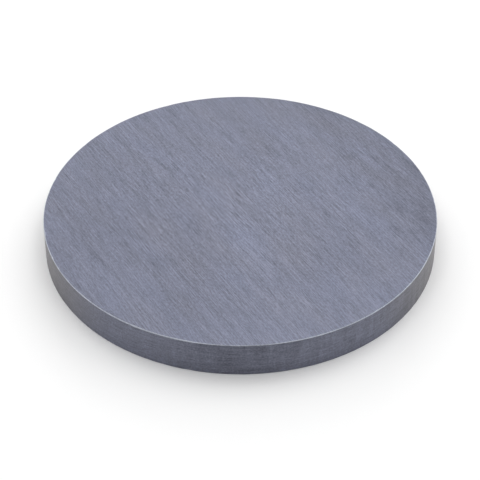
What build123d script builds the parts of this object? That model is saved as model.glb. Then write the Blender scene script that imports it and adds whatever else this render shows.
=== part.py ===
from build123d import *
import os

# A monolithic sputtering target: one ground metal disc with a broken edge round each face.
#
# The part's frame is in millimetres, with +Z up. Its origin is the centre of the back face,
# which seats on the cathode's cooling plate. +Z runs along the disc's axis, towards the front
# face, which is the one that is sputtered away.

# Driving dimensions: a 2 inch target that is 3/16 inch thick.
DISC_DIAMETER = 50.8
DISC_THICKNESS = 4.7625
FRONT_EDGE_BREAK = 0.08  # leg of the 45 degree break round the front face
BACK_EDGE_BREAK = 0.08  # leg of the 45 degree break round the back face


def make_target_disc():
    """The disc: turned to its diameter, ground flat on both faces, its sharp edges broken."""
    with BuildPart() as target_disc:
        with BuildSketch(Plane.XY):
            Circle(DISC_DIAMETER / 2)
        extrude(amount=DISC_THICKNESS)

        front_face = target_disc.faces().sort_by(Axis.Z)[-1]
        chamfer(front_face.edges(), FRONT_EDGE_BREAK)

        back_face = target_disc.faces().sort_by(Axis.Z)[0]
        chamfer(back_face.edges(), BACK_EDGE_BREAK)

    target_disc.part.label = "target_disc"
    return target_disc.part


os.makedirs("parts", exist_ok=True)
export_step(make_target_disc(), "parts/target_disc.step")
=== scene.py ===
import math
import random

import bpy
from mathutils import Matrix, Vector


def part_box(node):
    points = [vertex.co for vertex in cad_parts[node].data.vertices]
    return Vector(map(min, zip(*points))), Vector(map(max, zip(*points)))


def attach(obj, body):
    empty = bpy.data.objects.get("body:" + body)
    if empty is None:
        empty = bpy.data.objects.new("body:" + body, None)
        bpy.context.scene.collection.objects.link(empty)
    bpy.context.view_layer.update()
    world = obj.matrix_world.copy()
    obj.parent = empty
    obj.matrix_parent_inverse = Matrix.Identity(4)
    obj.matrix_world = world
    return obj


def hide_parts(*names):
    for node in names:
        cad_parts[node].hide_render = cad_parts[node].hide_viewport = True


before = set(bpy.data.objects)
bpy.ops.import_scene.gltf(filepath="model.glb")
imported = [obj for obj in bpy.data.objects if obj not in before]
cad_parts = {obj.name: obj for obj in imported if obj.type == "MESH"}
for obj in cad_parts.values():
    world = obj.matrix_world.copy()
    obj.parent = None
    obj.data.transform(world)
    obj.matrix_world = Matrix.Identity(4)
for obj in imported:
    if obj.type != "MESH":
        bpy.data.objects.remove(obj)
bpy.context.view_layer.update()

# The looks of a sputtering target: one disc of blue-grey metal, ground in straight lines on both
# faces and turned round its wall, with a bright broken edge round each face.
# Everything is in metres, in the frame of the CAD model: the back face lies on z = 0, and +Z is the
# disc's axis.

MM = 0.001
DISC_LOW, DISC_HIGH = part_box("target_disc")
RADIUS = (DISC_HIGH.x - DISC_LOW.x) / 2
THICKNESS = DISC_HIGH.z - DISC_LOW.z

# The disc's mesh.
GRID = 120  # cells across each face
STEPS = 4 * GRID  # points round the rim
WALL_ROWS = 9  # rows of cells up the wall
EDGE_ROWS = 4  # rows of cells across each broken edge
EDGE_BREAK = 0.08 * MM  # the leg of the break round each face, before it varies
EDGE_ROUNDING = 0.35  # 0 leaves the break flat, and 1 makes it a quarter circle
EDGE_VARIES = 0.12  # how far the leg strays in slow waves, as a share of itself
HOLD = 0.03 * MM  # a narrow row of cells beside the break keeps the flats flat up to it
NICKS = 24  # small knocks in each edge
NICK_DEPTH = (0.2, 0.8)  # what a knock adds to the leg, as a share of it
NICK_WIDTH = (0.25 * MM, 0.7 * MM)  # along the rim

# The disc's map, in shares of its width: both faces as discs across a diagonal, the wall as strips
# in the two corners left over.
MAP_EDGE = 0.006
FRONT_SPAN = 0.625
BACK_SPAN = 0.52
STRIPS = 6
STRIP_SPAN = 0.44
STRIP_PITCH = 0.1

# The ground lines of the faces run this way, turned from +X.
GRAIN_ANGLE = math.radians(-59.2)

# The metal's colours.
FACE_BLUE = (0.186, 0.203, 0.277, 1)
FACE_GREY = (0.205, 0.210, 0.259, 1)
WALL_BLUE = (0.196, 0.205, 0.260, 1)
WALL_GREY = (0.199, 0.193, 0.207, 1)
EDGE_COLOUR = (0.57, 0.60, 0.68)

PAPER_COLOUR = (0.99, 0.99, 0.99, 1)
PAPER_ROUGHNESS = 0.9

# How rough the metal is, and what its lines and flecks change.
FACE_ROUGHNESS = 0.45
WALL_ROUGHNESS = 0.45
EDGE_ROUGHNESS = 0.4
LINE_GLOSS = 0.2  # how much smoother the metal is per unit of a line's brightness
FLECK_DULLNESS = 0.2  # how much rougher the edge is per unit of a fleck's brightness
LINE_DEPTH = 0.01 * MM
LINE_RELIEF = 0.5  # how much of that depth the shading shows

# The camera looks at this point from in front (-Y), this high in degrees, and this far off.
CAMERA_AIM = Vector((-0.03, 0, -0.26)) * MM
CAMERA_ELEVATION = 40.09
CAMERA_DISTANCE = 226.0 * MM
CAMERA_LENS = 129.05  # in millimetres
CAMERA_SENSOR = 36.0  # in millimetres
CAMERA_CLIP_START = 0.01


# ------------------------------------------------------------------------------------------------
# The disc's mesh
# ------------------------------------------------------------------------------------------------

def rim_angle(step):
    """The angle of a point round the rim. The first one is at a corner of the faces' grid."""
    return 2 * math.pi * step / STEPS - math.pi / 4


def edge_legs(seed):
    """The broken edge's leg at each point round the rim: slow waves, and knocks here and there."""
    chance = random.Random(seed)
    waves = [(k, chance.uniform(0, 2 * math.pi), chance.gauss(0, 1)) for k in (3, 5, 8, 13, 21, 34, 55)]
    spread = math.sqrt(sum(height**2 for _, _, height in waves) / 2)
    knocks = []
    for _ in range(NICKS):
        place = chance.uniform(-math.pi, math.pi)
        depth = chance.uniform(*NICK_DEPTH)
        knocks.append((place, depth, chance.uniform(*NICK_WIDTH) / 2 / RADIUS))
    legs = []
    for step in range(STEPS):
        angle = rim_angle(step)
        wave = sum(height * math.cos(k * angle + phase) for k, phase, height in waves) / spread
        leg = 1 + EDGE_VARIES * wave
        for place, depth, width in knocks:
            away = math.remainder(angle - place, 2 * math.pi)
            leg += depth * math.exp(-((away / width) ** 2))
        legs.append(EDGE_BREAK * leg)
    return legs


def edge_curve(leg):
    """Points across a broken edge, from the face to the wall. Each is [how far in from the wall, how
    far back from the face]."""
    points = []
    for row in range(EDGE_ROWS + 1):
        share = row / EDGE_ROWS
        bend = math.pi / 2 * share
        flat = (1 - share, share)
        bowed = (1 - math.sin(bend), 1 - math.cos(bend))
        points.append([leg * (f + EDGE_ROUNDING * (b - f)) for f, b in zip(flat, bowed)])
    return points


class Ring:
    """One ring of points round the disc: each one's radius and height, and how far from the face's
    middle the map lays it."""

    def __init__(self, radii, heights, reaches=()):
        self.radii = radii
        self.heights = heights
        self.reaches = reaches


def edge_rings(seed, face_height, inwards):
    """The rings across a face's broken edge, from the row that holds the face flat to the one that
    holds the wall flat. inwards is +1 for the back face and -1 for the front one, up into the metal."""
    legs = edge_legs(seed)
    curves = [edge_curve(leg) for leg in legs]
    hold = [RADIUS - leg - HOLD for leg in legs]
    rings = [Ring(hold, [face_height] * STEPS, hold)]
    reaches = [RADIUS - leg for leg in legs]
    for row in range(EDGE_ROWS + 1):
        if row > 0:
            reaches = [
                reach + math.dist(curve[row - 1], curve[row])
                for reach, curve in zip(reaches, curves)
            ]
        radii = [RADIUS - curve[row][0] for curve in curves]
        heights = [face_height + inwards * curve[row][1] for curve in curves]
        rings.append(Ring(radii, heights, reaches))
    wall_hold = [height + inwards * HOLD for height in rings[-1].heights]
    rings.append(Ring([RADIUS] * STEPS, wall_hold))
    return rings


def wall_rings(lower, upper):
    """The rings up the wall between the two broken edges."""
    rings = []
    for row in range(1, WALL_ROWS):
        share = row / WALL_ROWS
        heights = [low + share * (high - low) for low, high in zip(lower.heights, upper.heights)]
        rings.append(Ring([RADIUS] * STEPS, heights))
    return rings


def rim_step(column, row):
    """The point round the rim that a border point of a face's grid is, or None inside."""
    if column == GRID and row < GRID:
        return row
    if row == GRID and column > 0:
        return 2 * GRID - column
    if column == 0 and row > 0:
        return 3 * GRID - row
    if row == 0:
        return 3 * GRID + column
    return None


def grid_place(column, row):
    """A square grid laid onto a disc so that its squares become rings: (share of the radius, angle)."""
    a = 2 * column / GRID - 1
    b = 2 * row / GRID - 1
    if a == 0 and b == 0:
        return 0.0, 0.0
    if abs(a) > abs(b):
        return abs(a), math.pi / 4 * b / a + (math.pi if a < 0 else 0)
    return abs(b), math.pi / 2 - math.pi / 4 * a / b + (math.pi if b < 0 else 0)


def front_map(reach, angle):
    """Where the map lays a point of the front face or its edge."""
    scale = FRONT_SPAN / 2 / (RADIUS + EDGE_BREAK)
    middle = MAP_EDGE + FRONT_SPAN / 2
    return middle + scale * reach * math.cos(angle), middle + scale * reach * math.sin(angle)


def back_map(reach, angle):
    """Where the map lays a point of the back face or its edge, seen from below."""
    scale = BACK_SPAN / 2 / (RADIUS + EDGE_BREAK)
    middle = 1 - MAP_EDGE - BACK_SPAN / 2
    return middle - scale * reach * math.cos(angle), middle + scale * reach * math.sin(angle)


def wall_map(step, strip, height):
    """Where the map lays a point of the wall: half the strips lie along it and half stand."""
    scale = STRIP_SPAN * STRIPS / (2 * math.pi * RADIUS)
    along = STRIP_SPAN * (step * STRIPS / STEPS - strip)
    row = strip % (STRIPS // 2) + 1
    across = 1 - MAP_EDGE - STRIP_PITCH * row + scale * height
    if strip < STRIPS // 2:
        return MAP_EDGE + along, across
    return across, MAP_EDGE + STRIP_SPAN - along


class DiscMesh:
    """The disc's points and cells, with each cell's finish and its corners' places on the map."""

    FACE, WALL, EDGE = range(3)

    def __init__(self):
        self.points = []
        self.cells = []
        self.finishes = []
        self.places = []

    def add_point(self, radius, angle, height):
        """Adds a point and returns its number."""
        self.points.append((radius * math.cos(angle), radius * math.sin(angle), height))
        return len(self.points) - 1

    def add_ring(self, ring):
        """Adds a ring's points and returns their numbers."""
        return [
            self.add_point(radius, rim_angle(step), height)
            for step, (radius, height) in enumerate(zip(ring.radii, ring.heights))
        ]

    def add_cell(self, corners, places, finish):
        """Adds a cell: its corners' numbers, their places on the map, and its finish."""
        self.cells.append(corners)
        self.places.extend(places)
        self.finishes.append(finish)

    def add_band(self, lower, upper, lower_ring, upper_ring, finish, place):
        """Adds the cells between two rings. place gives a point's place on the map."""
        for step in range(STEPS):
            after = (step + 1) % STEPS
            corners = (lower[step], lower[after], upper[after], upper[step])
            ends = (
                (lower_ring, step, 0),
                (lower_ring, step, 1),
                (upper_ring, step, 1),
                (upper_ring, step, 0),
            )
            self.add_cell(corners, [place(*end) for end in ends], finish)

    def add_face(self, border, height, place, upwards):
        """Adds a face inside its border ring, as a grid laid onto the disc."""
        inner_radius = RADIUS - EDGE_BREAK - HOLD
        numbers = {}
        flat = {}
        for row in range(GRID + 1):
            for column in range(GRID + 1):
                share, angle = grid_place(column, row)
                step = rim_step(column, row)
                radius = share * inner_radius
                if step is None:
                    numbers[column, row] = self.add_point(radius, angle, height)
                else:
                    numbers[column, row] = border[step]
                    radius = math.hypot(*self.points[border[step]][:2])
                flat[column, row] = place(radius, angle)
        for row in range(GRID):
            for column in range(GRID):
                right, above = column + 1, row + 1
                corners = [(column, row), (right, row), (right, above), (column, above)]
                if not upwards:
                    corners.reverse()
                self.add_cell([numbers[c] for c in corners], [flat[c] for c in corners], self.FACE)

    def to_object(self, name, materials):
        """Makes the mesh an object. The materials come in the order of FACE, WALL and EDGE."""
        mesh = bpy.data.meshes.new(name)
        mesh.from_pydata(self.points, [], self.cells)
        layer = mesh.uv_layers.new(name="OFBake")
        layer.data.foreach_set("uv", [part for place in self.places for part in place])
        for material in materials:
            mesh.materials.append(material)
        mesh.polygons.foreach_set("material_index", self.finishes)
        mesh.shade_smooth()
        made = bpy.data.objects.new(name, mesh)
        bpy.context.scene.collection.objects.link(made)
        return made


def map_through(face_map):
    """A function that gives the map's place for a point of a ring on one of the map's two discs."""
    def place(ring, step, ahead):
        return face_map(ring.reaches[(step + ahead) % STEPS], rim_angle(step + ahead))

    return place


def map_on_wall(ring, step, ahead):
    """The map's place for a point of a ring that belongs to the wall's strips."""
    return wall_map(step + ahead, step * STRIPS // STEPS, ring.heights[(step + ahead) % STEPS])


def make_disc(materials):
    """The whole disc as one closed mesh: two faces, two broken edges and the wall between them."""
    mesh = DiscMesh()
    back = edge_rings(seed=11, face_height=0.0, inwards=1)
    front = edge_rings(seed=12, face_height=THICKNESS, inwards=-1)
    front.reverse()
    rings = back + wall_rings(back[-1], front[0]) + front

    on_back, on_front = map_through(back_map), map_through(front_map)
    bands = [(mesh.FACE, on_back)]
    bands += [(mesh.EDGE, on_back)] * EDGE_ROWS
    bands += [(mesh.WALL, map_on_wall)] * (WALL_ROWS + 2)
    bands += [(mesh.EDGE, on_front)] * EDGE_ROWS
    bands += [(mesh.FACE, on_front)]

    numbers = [mesh.add_ring(ring) for ring in rings]
    for band, (finish, place) in enumerate(bands):
        mesh.add_band(numbers[band], numbers[band + 1], rings[band], rings[band + 1], finish, place)
    mesh.add_face(numbers[0], 0.0, back_map, upwards=False)
    mesh.add_face(numbers[-1], THICKNESS, front_map, upwards=True)
    return mesh.to_object("ground_disc", materials)


# ------------------------------------------------------------------------------------------------
# Materials
# ------------------------------------------------------------------------------------------------

class Finish:
    """A material and its nodes. A value given to a node may be a number, a colour or a socket."""

    SEED_STEP = Vector((0.31, 0.17, 0.23))  # how far apart, in metres, two seeds take their noise
    MIX_FIRST, MIX_SECOND, MIX_RESULT = 6, 7, 2  # the Mix node's sockets for colours

    def __init__(self, name, metallic, roughness):
        self.material = bpy.data.materials.new(name)
        self.material.use_nodes = True
        self.tree = self.material.node_tree
        self.shader = self.tree.nodes["Principled BSDF"]
        self.shader.inputs["Metallic"].default_value = metallic
        self.shader.inputs["Roughness"].default_value = roughness
        self.here = self.add("TexCoord").outputs["Object"]

    def add(self, kind, values=(), **settings):
        """Adds a node of a kind, with its settings and the values of its inputs."""
        node = self.tree.nodes.new("ShaderNode" + kind)
        for name, value in settings.items():
            setattr(node, name, value)
        for socket, value in dict(values).items():
            self.feed(node.inputs[socket], value)
        return node

    def feed(self, socket, value):
        """Links a socket to an input, or sets the input to a number or a colour."""
        if isinstance(value, bpy.types.NodeSocket):
            self.tree.links.new(value, socket)
        else:
            socket.default_value = value

    def math(self, operation, *values):
        """The result of a Math node."""
        return self.add("Math", enumerate(values), operation=operation).outputs[0]

    def placed(self, middle, size, turn):
        """Places counted from a middle, in units of size, after a turn about +Z."""
        values = {"Vector": self.here, "Location": middle, "Rotation": (0, 0, turn), "Scale": size}
        return self.add("Mapping", values, vector_type="TEXTURE").outputs[0]

    def noise(self, size, turn=0.0, seed=0, detail=0.0):
        """Cloudy noise, about 0 to 1, whose cells are stretched to size and turned about +Z."""
        there = self.placed(self.SEED_STEP * seed, size, turn)
        values = {"Vector": there, "Scale": 1.0, "Detail": detail}
        return self.add("TexNoise", values).outputs["Fac"]

    def soft_place(self, middle, size, turn=0.0):
        """1 at the middle of an ellipsoid, fading to 0 at its rim."""
        values = {"Vector": self.placed(middle, size, turn)}
        return self.add("TexGradient", values, gradient_type="QUADRATIC_SPHERE").outputs["Fac"]

    def total(self, parts):
        """The sum of (noise, amount) parts, each counted from the noise's middle."""
        sum_ = -0.5 * sum(amount for _, amount in parts)
        for noise, amount in parts:
            sum_ = self.math("MULTIPLY_ADD", noise, amount, sum_)
        return sum_

    def blend(self, share, first, second):
        """The first colour where share is 0 or less, and the second where it is 1 or more."""
        mixed = self.add("Mix", {"Factor": share}, data_type="RGBA", clamp_factor=True)
        self.feed(mixed.inputs[self.MIX_FIRST], first)
        self.feed(mixed.inputs[self.MIX_SECOND], second)
        return mixed.outputs[self.MIX_RESULT]

    def brighten(self, colour, change):
        """The colour times 1 + change."""
        scaled = self.add("VectorMath", {0: colour}, operation="SCALE")
        self.feed(scaled.inputs["Scale"], self.math("ADD", change, 1.0))
        return scaled.outputs[0]

    def colour(self, metal, tone):
        """Gives the material the metal's colour times 1 + tone."""
        self.feed(self.shader.inputs["Base Color"], self.brighten(metal, tone))

    def cut_lines(self, lines, roughness):
        """Makes bright lines smoother than the rest, and gives all lines relief."""
        rough = self.math("MULTIPLY_ADD", lines, -LINE_GLOSS, roughness)
        self.feed(self.shader.inputs["Roughness"], rough)
        values = {"Height": lines, "Distance": LINE_DEPTH, "Strength": LINE_RELIEF}
        self.feed(self.shader.inputs["Normal"], self.add("Bump", values).outputs[0])


def along_grain(length, width):
    """The size of a noise's cells along the ground lines, across them and into the metal."""
    return (length * MM, width * MM, 3 * width * MM)


# The front face's broad soft places: (x, y) in radii, how far each reaches along and across the
# lines in mm, and how much brighter and how much greyer its middle is. Most are the metal's own
# tone; the first two are painted light and shade, darker towards the back and lighter at the front.
FACE_TONES_AND_PAINTED_LIGHT = [
    # Painted shade towards the back, and painted light at the front.
    ((0.0, 1.05), (26, 26), -0.10, 0.00),
    ((0.2, -1.00), (26, 26), 0.13, 0.00),
    ((-0.08, 0.20), (22, 12), 0.06, 0.00),
    ((0.0, -0.20), (16, 8), 0.08, 0.00),
    ((-0.50, 0.52), (14, 7), -0.02, -0.15),
    ((0.52, 0.16), (15, 8), 0.07, -0.12),
    ((0.97, 0.32), (28, 15), -0.26, 0.05),
    ((1.02, -0.15), (14, 8), -0.12, 0.05),
    ((0.45, 0.85), (13, 9), -0.13, 0.05),
    ((-0.60, -0.58), (12, 5), 0.07, -0.10),
    ((-0.25, -0.72), (10, 5), -0.12, 0.05),
    ((0.62, -0.72), (12, 6), 0.05, -0.10),
    ((-0.26, -0.36), (14, 7), -0.08, 0.20),
    ((0.30, -0.20), (11, 6), -0.04, 0.20),
    ((-0.75, 0.00), (16, 10), -0.05, 0.05),
]
GREYNESS = 0.2  # the least share of FACE_GREY in the metal, away from the soft places
GREYNESS_SPREAD = 0.5  # what the noise adds to that share

# The wall's painted shade and light, soft places painted darker, or lighter where the amount is below
# 0: (x, y) and how far each reaches, in radii, and how much darker it is.
WALL_PAINTED_LIGHT_AND_SHADE = [
    ((0, -1), 0.7, 0.19),
    ((0, -1), 1.4, 0.13),
    ((-1, 0), 0.9, 0.12),
    ((1, 0), 0.4, -0.10),
]
WALL_PAINTED_FOOT_LIGHT = 0.18  # painted light: how much brighter the metal is painted at the foot of the wall than at its top
WALL_GREY_FROM = 0.6  # where the wall starts to turn grey, in radii to either side
WALL_GREY_TO = 1.0  # and where it is all WALL_GREY
STREAK_STRENGTH = 0.60  # how strong the wall's streaks are at the front and back
STREAK_GAIN = 0.5  # how much stronger they are at the right, and weaker at the left

# How strongly the ground lines show away from the places below, and where that differs: (x, y) in
# radii of the front face, how far the place reaches in radii, and how much stronger they are.
GRAIN_DEPTH = 0.84
GRAIN_PLACES = [
    ((-0.05, 0.00), 1.4, 0.48),
    ((0.0, 1.05), 0.9, -0.60),
]

# The ground lines are fresher in some places than in others.
LEAST_FRESH = 0.3
FRESHNESS_SPREAD = 1.4

# Painted shade: the broken edge is painted dimmer at the front.
EDGE_PAINTED_SHADE = 0.44
EDGE_PAINTED_SHADE_REACH = 0.8  # in radii


def over_tones_and_painted_light(look, tone, greyness):
    """The front face's tone and greyness with its soft places added, painted light and shade among
    them.
    """
    for (x, y), (length, width), brighter, greyer in FACE_TONES_AND_PAINTED_LIGHT:
        middle = (x * RADIUS, y * RADIUS, THICKNESS)
        place = look.soft_place(middle, (length * MM, width * MM, MM), GRAIN_ANGLE)
        tone = look.math("MULTIPLY_ADD", place, brighter, tone)
        greyness = look.math("MULTIPLY_ADD", place, greyer, greyness)
    return tone, greyness


def grain_depth(look):
    """How strongly the ground lines show, place by place."""
    depth = GRAIN_DEPTH
    for (x, y), reach, deeper in GRAIN_PLACES:
        size = reach * RADIUS
        place = look.soft_place((x * RADIUS, y * RADIUS, THICKNESS), (size, size, size))
        depth = look.math("MULTIPLY_ADD", place, deeper, depth)
    return depth


def ground_face():
    """Straight ground lines of many lengths on satin blue-grey metal, over broad soft places."""
    look = Finish("ground_face", metallic=1.0, roughness=FACE_ROUGHNESS)
    scratches = look.total([
        (look.noise(along_grain(1.5, 0.12), GRAIN_ANGLE, seed=1), 0.48),
        (look.noise(along_grain(4.0, 0.13), GRAIN_ANGLE, seed=2), 0.31),
    ])
    freshness = look.noise(along_grain(5.0, 1.5), GRAIN_ANGLE, seed=11)
    fresh = look.math("MULTIPLY_ADD", freshness, FRESHNESS_SPREAD, LEAST_FRESH)
    scratches = look.math("MULTIPLY", scratches, fresh)
    bands = look.total([
        (look.noise(along_grain(5.0, 0.3), GRAIN_ANGLE, seed=3, detail=1), 0.06),
        (look.noise(along_grain(12.0, 0.35), GRAIN_ANGLE, seed=4, detail=1), 0.09),
    ])
    lines = look.math("ADD", scratches, bands)
    nicks = look.total([(look.noise(along_grain(0.38, 0.12), GRAIN_ANGLE, seed=5), 0.64)])
    grain = look.math("MULTIPLY", look.math("ADD", lines, nicks), grain_depth(look))
    clouds = look.total([
        (look.noise(along_grain(2.0, 1.0), GRAIN_ANGLE, seed=6, detail=1), 0.08),
        (look.noise(along_grain(6.0, 1.0), GRAIN_ANGLE, seed=7, detail=1), 0.20),
        (look.noise(along_grain(20.0, 1.0), GRAIN_ANGLE, seed=8, detail=1), 0.18),
        (look.noise(along_grain(16.0, 6.0), GRAIN_ANGLE, seed=9, detail=1), 0.14),
    ])
    tone = look.math("ADD", grain, clouds)
    patches = look.noise(along_grain(7.0, 3.0), GRAIN_ANGLE, seed=10)
    greyness = look.math("MULTIPLY_ADD", patches, GREYNESS_SPREAD, GREYNESS)
    tone, greyness = over_tones_and_painted_light(look, tone, greyness)
    look.colour(look.blend(greyness, FACE_BLUE, FACE_GREY), tone)
    look.cut_lines(lines, FACE_ROUGHNESS)
    return look.material


def over_wall_painted_light(look, tone, height):
    """The wall's tone with its painted shade and light, and its painted lightening from top to foot.
    height is in metres.
    """
    # Painted shade, and painted light where an amount is below 0.
    for (x, y), reach, darker in WALL_PAINTED_LIGHT_AND_SHADE:
        size = (reach * RADIUS, reach * RADIUS, RADIUS)
        shade = look.soft_place((x * RADIUS, y * RADIUS, THICKNESS / 2), size)
        tone = look.math("MULTIPLY_ADD", shade, -darker, tone)
    # Painted light: the wall is painted brighter towards its foot.
    tone = look.math("ADD", tone, WALL_PAINTED_FOOT_LIGHT / 2)
    return look.math("MULTIPLY_ADD", height, -WALL_PAINTED_FOOT_LIGHT / THICKNESS, tone)


def turned_wall():
    """Fine lines round the wall and soft streaks up it. Painted shade makes it darkest at the front,
    and it is grey at the sides."""
    look = Finish("turned_wall", metallic=1.0, roughness=WALL_ROUGHNESS)
    place = look.add("SeparateXYZ", {0: look.here}).outputs
    lines = look.total([
        (look.noise((1.2 * MM, 1.2 * MM, 0.14 * MM), seed=17), 0.30),
        (look.noise((3.5 * MM, 3.5 * MM, 0.15 * MM), seed=16), 0.20),
        (look.noise((6.0 * MM, 6.0 * MM, 0.30 * MM), seed=12, detail=1), 0.15),
    ])
    streaks = look.total([
        (look.noise((0.6 * MM, 0.6 * MM, 4.0 * MM), seed=14, detail=1), 0.46),
        (look.noise((2.0 * MM, 2.0 * MM, 8.0 * MM), seed=15, detail=1), 0.30),
    ])
    strength = look.math("MULTIPLY_ADD", place["X"], STREAK_GAIN / RADIUS, STREAK_STRENGTH)
    streaks = look.math("MULTIPLY", streaks, strength)
    specks = look.total([(look.noise((0.2 * MM, 0.2 * MM, 0.2 * MM), seed=13), 0.48)])
    tone = look.math("ADD", look.math("ADD", lines, streaks), specks)
    tone = over_wall_painted_light(look, tone, place["Z"])
    ends = {
        "Value": look.math("ABSOLUTE", place["X"]),
        "From Min": WALL_GREY_FROM * RADIUS,
        "From Max": WALL_GREY_TO * RADIUS,
    }
    greyness = look.add("MapRange", ends, interpolation_type="SMOOTHSTEP").outputs["Result"]
    look.colour(look.blend(greyness, WALL_BLUE, WALL_GREY), tone)
    look.cut_lines(lines, WALL_ROUGHNESS)
    return look.material


def broken_edge():
    """Bare bright metal where the edge was broken, flecked where the ground lines run out over it, with
    painted shade at the front.
    """
    look = Finish("broken_edge", metallic=1.0, roughness=EDGE_ROUGHNESS)
    flecks = look.total([
        (look.noise(along_grain(0.8, 0.2), GRAIN_ANGLE, seed=21), 0.5),
        (look.noise(along_grain(3.0, 2.0), GRAIN_ANGLE, seed=22), 0.3),
    ])
    reach = RADIUS * EDGE_PAINTED_SHADE_REACH
    # Painted shade: the edge is painted dimmer round the front.
    front = look.soft_place((0, -RADIUS, THICKNESS), (reach, reach, reach))
    look.colour(EDGE_COLOUR, look.math("MULTIPLY_ADD", front, -EDGE_PAINTED_SHADE, flecks))
    rough = look.math("MULTIPLY_ADD", flecks, FLECK_DULLNESS, EDGE_ROUGHNESS)
    look.feed(look.shader.inputs["Roughness"], rough)
    return look.material


def floor_paper():
    """White studio paper without any gloss."""
    look = Finish("floor_paper", metallic=0.0, roughness=PAPER_ROUGHNESS)
    look.shader.inputs["Base Color"].default_value = PAPER_COLOUR
    look.shader.inputs["Specular IOR Level"].default_value = 0.0
    return look.material


# ------------------------------------------------------------------------------------------------
# The studio
# ------------------------------------------------------------------------------------------------

WORLD_COLOUR = (1, 1, 1, 1)
WORLD_LEVEL = 0.36
FLOOR_SIZE = 8.0
FLOOR_GAP = 0.01 * MM  # keeps the floor from sharing a plane with the back face

# The softboxes: name, azimuth and elevation in degrees, size in metres, and radiance.
SOFTBOX_DISTANCE = 2.0
SOFTBOXES = [
    ("softbox_above", 0, 90, 2.0, 1.66),
    ("softbox_back_right", 135, 40, 1.4, 1.75),
    ("softbox_back_left", 225, 40, 1.4, 1.15),
    ("softbox_low_back", 180, 15, 1.0, 2.8),
]


def make_floor():
    """A square of paper under the disc. It is staging and no part of the object."""
    mesh = bpy.data.meshes.new("floor")
    half = FLOOR_SIZE / 2
    height = DISC_LOW.z - FLOOR_GAP
    corners = [
        (-half, -half, height),
        (half, -half, height),
        (half, half, height),
        (-half, half, height),
    ]
    mesh.from_pydata(corners, [], [(0, 1, 2, 3)])
    mesh.materials.append(floor_paper())
    floor = bpy.data.objects.new("floor", mesh)
    bpy.context.scene.collection.objects.link(floor)


def direction(azimuth, elevation):
    """A unit vector towards a place above the horizon, from angles in degrees. Azimuth 0 is -Y,
    where the camera is, and 90 is +X."""
    turn, rise = math.radians(azimuth), math.radians(elevation)
    level = math.cos(rise)
    return Vector((math.sin(turn) * level, -math.cos(turn) * level, math.sin(rise)))


def make_softbox(name, azimuth, elevation, distance, size, radiance):
    """A square lamp that faces the disc. radiance is how bright its face looks: 1 is paper white."""
    data = bpy.data.lights.new(name, "AREA")
    data.shape = "SQUARE"
    data.size = size
    data.energy = radiance * math.pi * size * size
    lamp = bpy.data.objects.new(name, data)
    towards = direction(azimuth, elevation)
    lamp.location = towards * distance
    lamp.rotation_mode = "QUATERNION"
    lamp.rotation_quaternion = towards.to_track_quat("Z", "Y")
    bpy.context.scene.collection.objects.link(lamp)


def make_lights():
    """An even white world, and four square lamps above and behind the disc."""
    world = bpy.data.worlds.new("studio")
    world.use_nodes = True
    background = world.node_tree.nodes["Background"]
    background.inputs["Color"].default_value = WORLD_COLOUR
    background.inputs["Strength"].default_value = WORLD_LEVEL
    bpy.context.scene.world = world
    for name, azimuth, elevation, size, radiance in SOFTBOXES:
        make_softbox(name, azimuth, elevation, SOFTBOX_DISTANCE, size, radiance)


def make_camera():
    """The camera, looking at CAMERA_AIM from in front and above."""
    data = bpy.data.cameras.new("camera")
    data.lens = CAMERA_LENS
    data.sensor_width = CAMERA_SENSOR
    data.clip_start = CAMERA_CLIP_START
    camera = bpy.data.objects.new("camera", data)
    back = direction(0, CAMERA_ELEVATION)
    camera.location = CAMERA_AIM + back * CAMERA_DISTANCE
    camera.rotation_mode = "QUATERNION"
    camera.rotation_quaternion = back.to_track_quat("Z", "Y")
    bpy.context.scene.collection.objects.link(camera)
    bpy.context.scene.camera = camera


disc = make_disc([ground_face(), turned_wall(), broken_edge()])
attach(disc, "root")
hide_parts("target_disc")

make_floor()
make_lights()
make_camera()
bpy.context.scene.view_settings.view_transform = "Standard"
